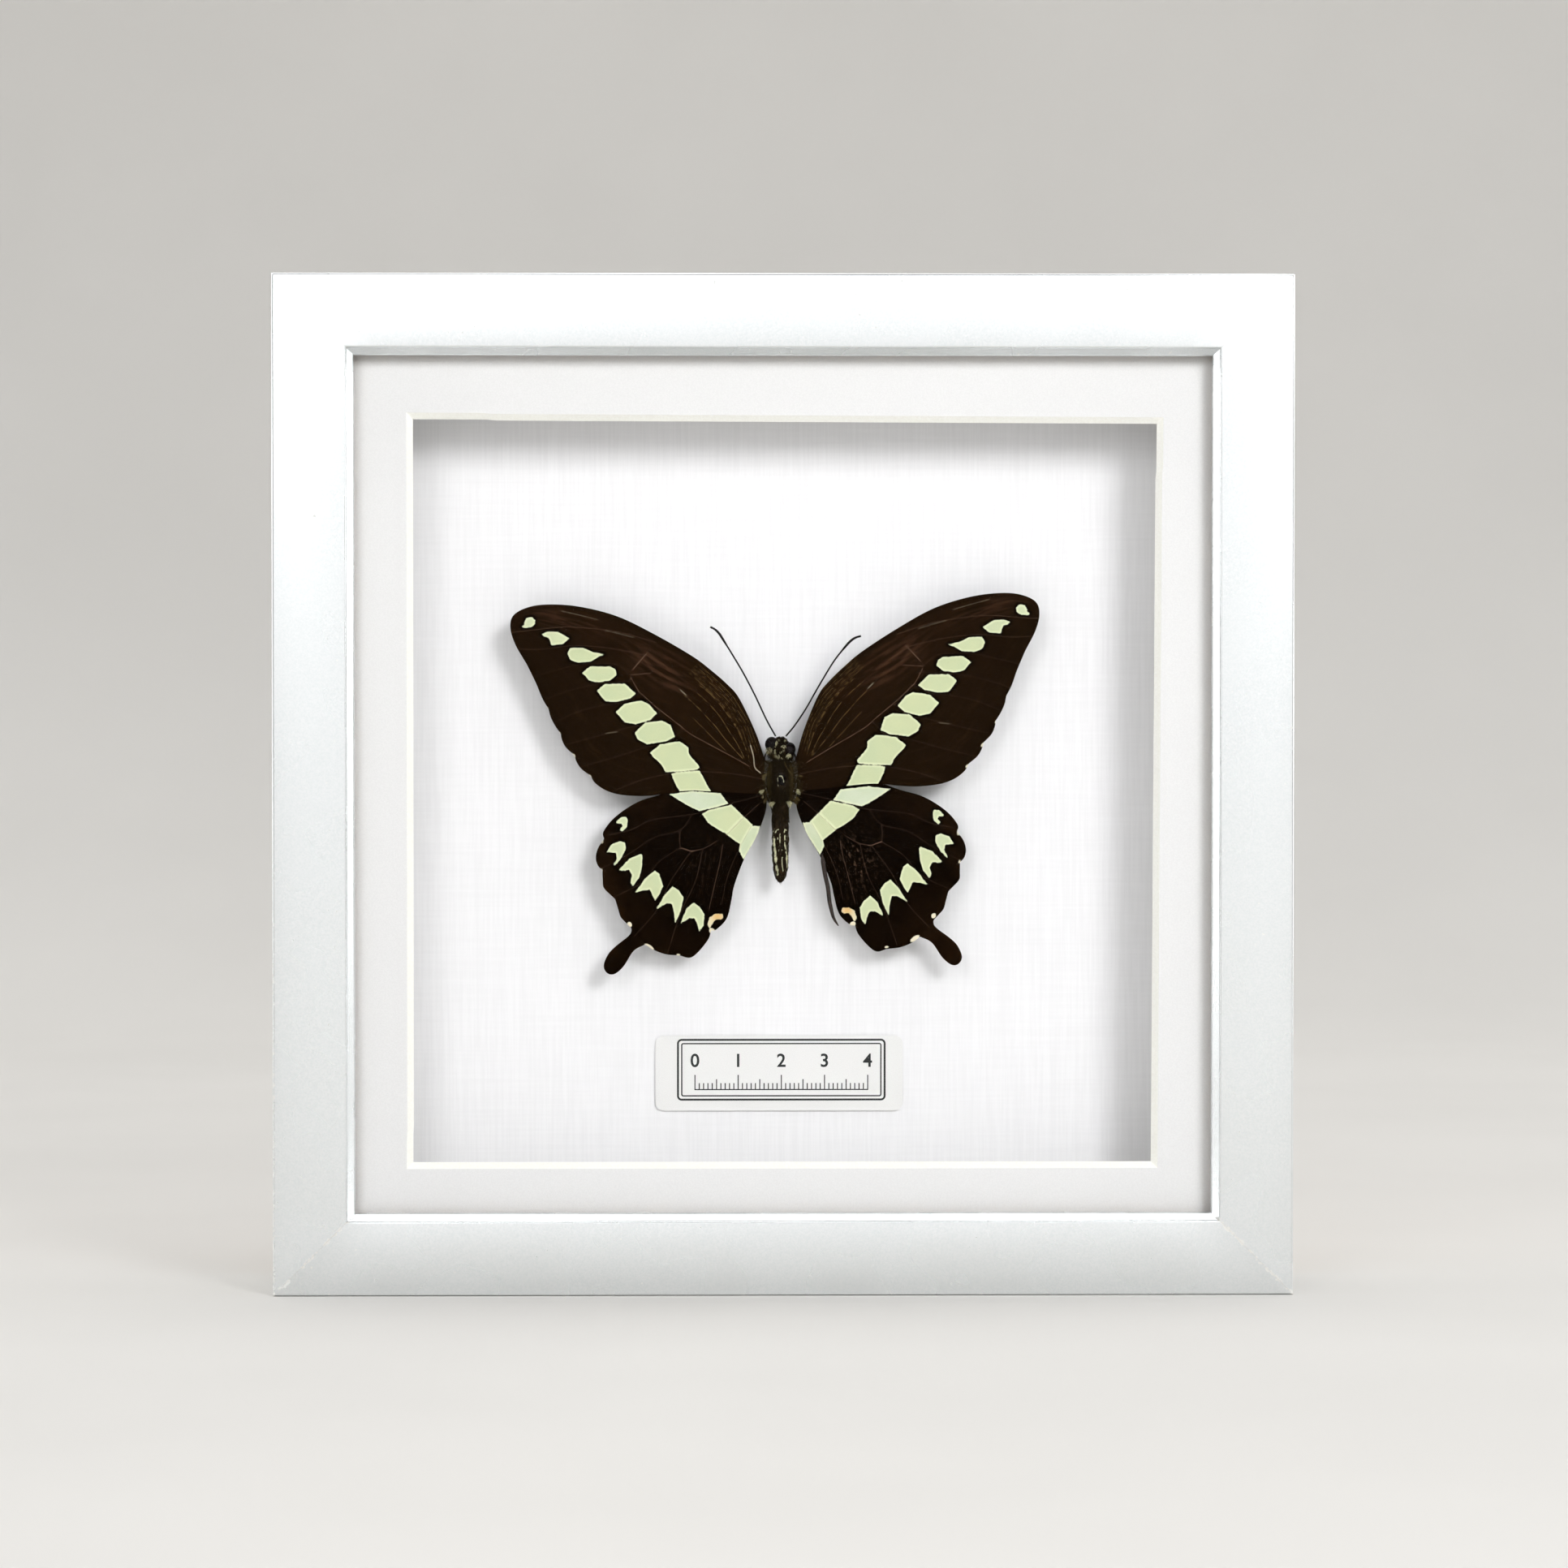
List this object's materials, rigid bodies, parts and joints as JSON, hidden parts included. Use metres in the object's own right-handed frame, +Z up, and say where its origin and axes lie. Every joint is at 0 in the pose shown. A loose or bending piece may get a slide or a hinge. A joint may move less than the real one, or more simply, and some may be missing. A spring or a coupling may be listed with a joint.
{
  "type": "framed butterfly specimen",
  "caption": "Dark tailed butterfly with a pale band, set with spread wings behind glass in a deep square silver box frame.",
  "frame": {"origin": "middle of the frame's bottom face, halfway through its depth", "axes": "+Z up, +Y out of the back; the glass and the insect's upper side face -Y"},
  "size_m": [0.23, 0.035, 0.23],
  "materials": {
    "silver_foil": "satin silver foil over a wood moulding",
    "clear_glass": "clear, polished",
    "mount_board": "matt off-white board with a white core",
    "foam_board": "matt off-white foam",
    "linen_board": "matt white board faced with linen-textured paper",
    "card": "matt white paper",
    "fibreboard": "raw brown fibreboard",
    "zinc_steel": "zinc-plated spring steel",
    "brass_plate": "brass-plated steel",
    "wing": "matt, velvety dark brown scales with pale green-cream spots",
    "body_fur": "dark brown fur over glossy shell",
    "antenna": "black, slightly glossy"
  },
  "bodies": {
    "root": {"abdomen": "body_fur", "antenna_left": "antenna", "antenna_right": "antenna", "back_panel": "fibreboard", "backing_board": "linen_board", "foam_pad": "foam_board", "forewing_left": "wing", "forewing_right": "wing", "glass_pane": "clear_glass", "hanger_nail_left": "brass_plate", "hanger_nail_right": "brass_plate", "head": "body_fur", "hindwing_left": "wing", "hindwing_right": "wing", "label_card": "card", "mount_board": "mount_board", "rail_bottom": "silver_foil", "rail_left": "silver_foil", "rail_right": "silver_foil", "rail_top": "silver_foil", "sawtooth_hanger": "brass_plate", "spacer_bottom": "foam_board", "spacer_left": "foam_board", "spacer_right": "foam_board", "spacer_top": "foam_board", "tab_bottom_a": "zinc_steel", "tab_bottom_b": "zinc_steel", "tab_left_a": "zinc_steel", "tab_left_b": "zinc_steel", "tab_right_a": "zinc_steel", "tab_right_b": "zinc_steel", "tab_top_a": "zinc_steel", "tab_top_b": "zinc_steel", "thorax": "body_fur"}
  },
  "joints": []
}
